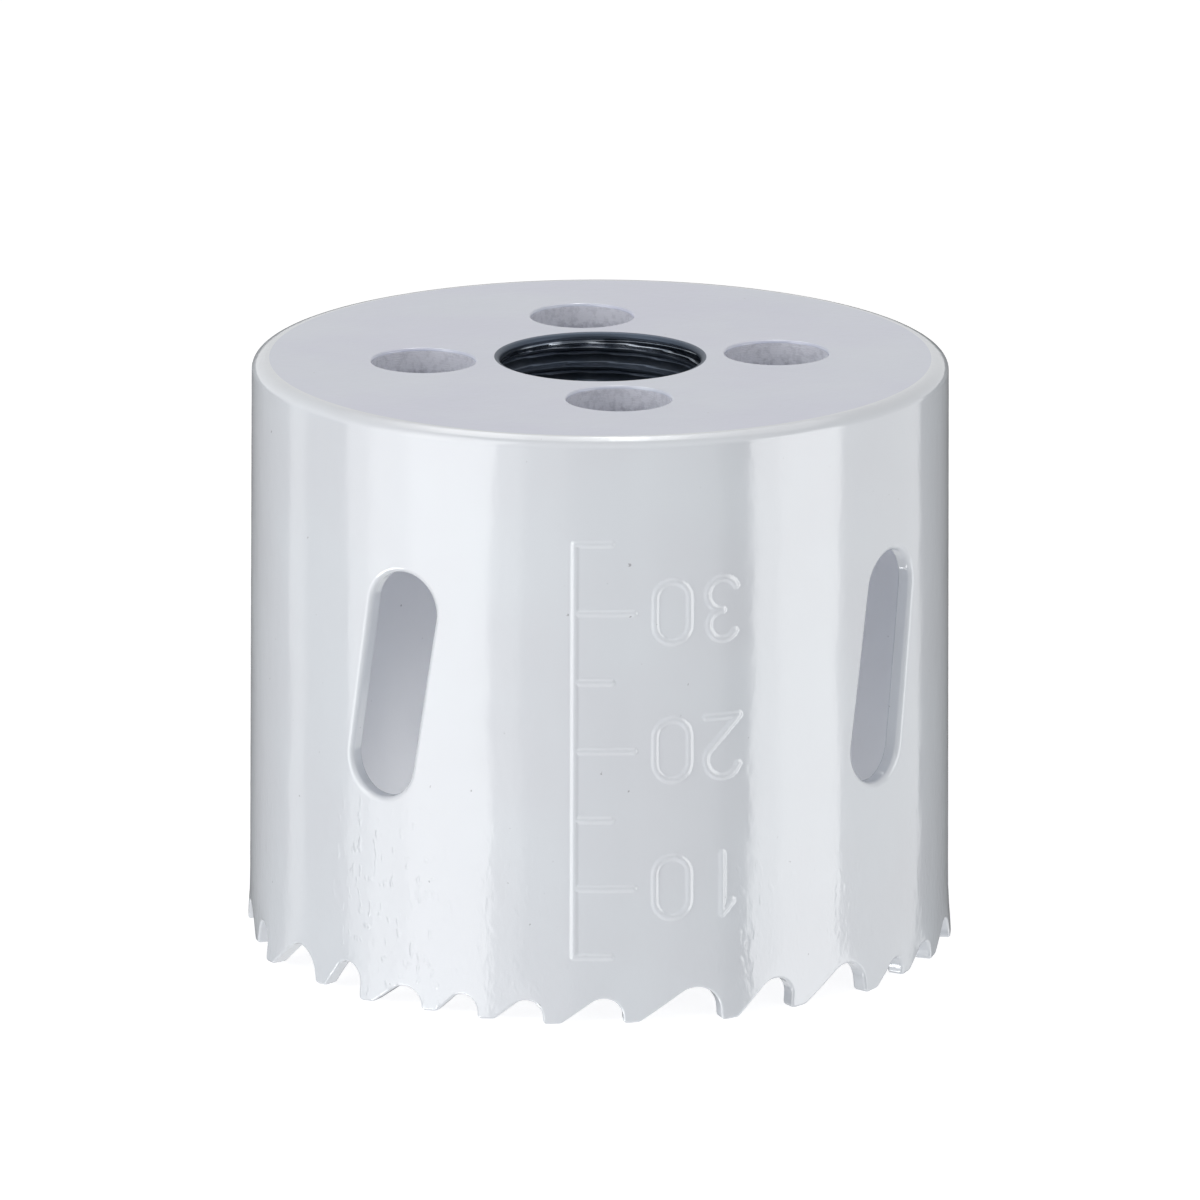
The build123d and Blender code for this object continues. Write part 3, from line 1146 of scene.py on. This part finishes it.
def add_floor():
    """White floor, lit through as a light table is: it lights the saw from below and keeps a soft shadow."""
    mesh = bpy.data.meshes.new("floor")
    half = FLOOR_SIZE / 2 * MM
    corners = [(-half, -half, 0), (half, -half, 0), (half, half, 0), (-half, half, 0)]
    mesh.from_pydata(corners, [], [(0, 1, 2, 3)])
    nodes = Nodes(bpy.data.materials.new("floor"))
    nodes.shader.inputs["Base Color"].default_value = (FLOOR_TONE, FLOOR_TONE, FLOOR_TONE, 1)
    nodes.shader.inputs["Roughness"].default_value = 1.0
    nodes.shader.inputs["Specular IOR Level"].default_value = 0.0
    nodes.shader.inputs["Emission Color"].default_value = (1, 1, 1, 1)
    path = nodes.node("ShaderNodeLightPath")
    glow = nodes.ramp(path.outputs["Is Camera Ray"], 0.0, 1.0, FLOOR_GLOW, FLOOR_GLOW + FLOOR_SEEN_GLOW)
    nodes.link(glow, nodes.shader.inputs["Emission Strength"])
    # Its underside is clear, so that the teeth and the inside can be seen from below.
    side = nodes.node("ShaderNodeNewGeometry")
    either = nodes.node("ShaderNodeMixShader")
    nodes.link(side.outputs["Backfacing"], either.inputs[0])
    nodes.link(nodes.shader.outputs[0], either.inputs[1])
    nodes.link(nodes.node("ShaderNodeBsdfTransparent").outputs[0], either.inputs[2])
    nodes.link(either.outputs[0], nodes.tree.nodes["Material Output"].inputs["Surface"])
    mesh.materials.append(nodes.owner)
    made = bpy.data.objects.new("floor", mesh)
    bpy.context.scene.collection.objects.link(made)
    # The gloss shows the screens and the white backdrop instead.
    made.visible_glossy = False


add_camera()
strip = strip_mesh()
wall_paint = paint_material("white_paint", PAINT, PAINT_SHADE)
# Inside the cup the white paint is lighter, as painted light.
lit_inner_paint = paint_material("lit_inner_paint", LIT_INNER_PAINT, LIT_INNER_PAINT_DARK, INNER_ROUGHNESS, 0.0)
strip_paints = [wall_paint, lit_inner_paint]
add_piece(cut_piece(strip, "painted_wall", True), "painted_wall", strip_paints, "cup_wall")
add_piece(cut_piece(strip, "painted_tips", False), "painted_tips", strip_paints, "tooth_tips")
# The plate takes a darker, bluer copy of the white paint, as painted shade.
plate_paint = paint_material("plate_paint", SHADED_PLATE_PAINT, SHADED_PLATE_PAINT_DARK)
plate_materials = [plate_paint, steel_material(), hole_material()]
add_piece(plate_mesh(), "painted_plate", plate_materials, "back_plate")
for lamp_name, settings in LAMPS.items():
    add_lamp(lamp_name, *settings)
for screen_number, settings in enumerate(SCREENS):
    add_screen(f"screen_{screen_number + 1}", *settings)
add_screen("fleck_screen", *FLECK_SCREEN, FLECK_SCREEN_DISTANCE)
for panel_number, settings in enumerate(PANELS):
    add_panel(f"panel_{panel_number + 1}", *settings)
add_world()
add_floor()
bpy.context.scene.view_settings.view_transform = "Standard"
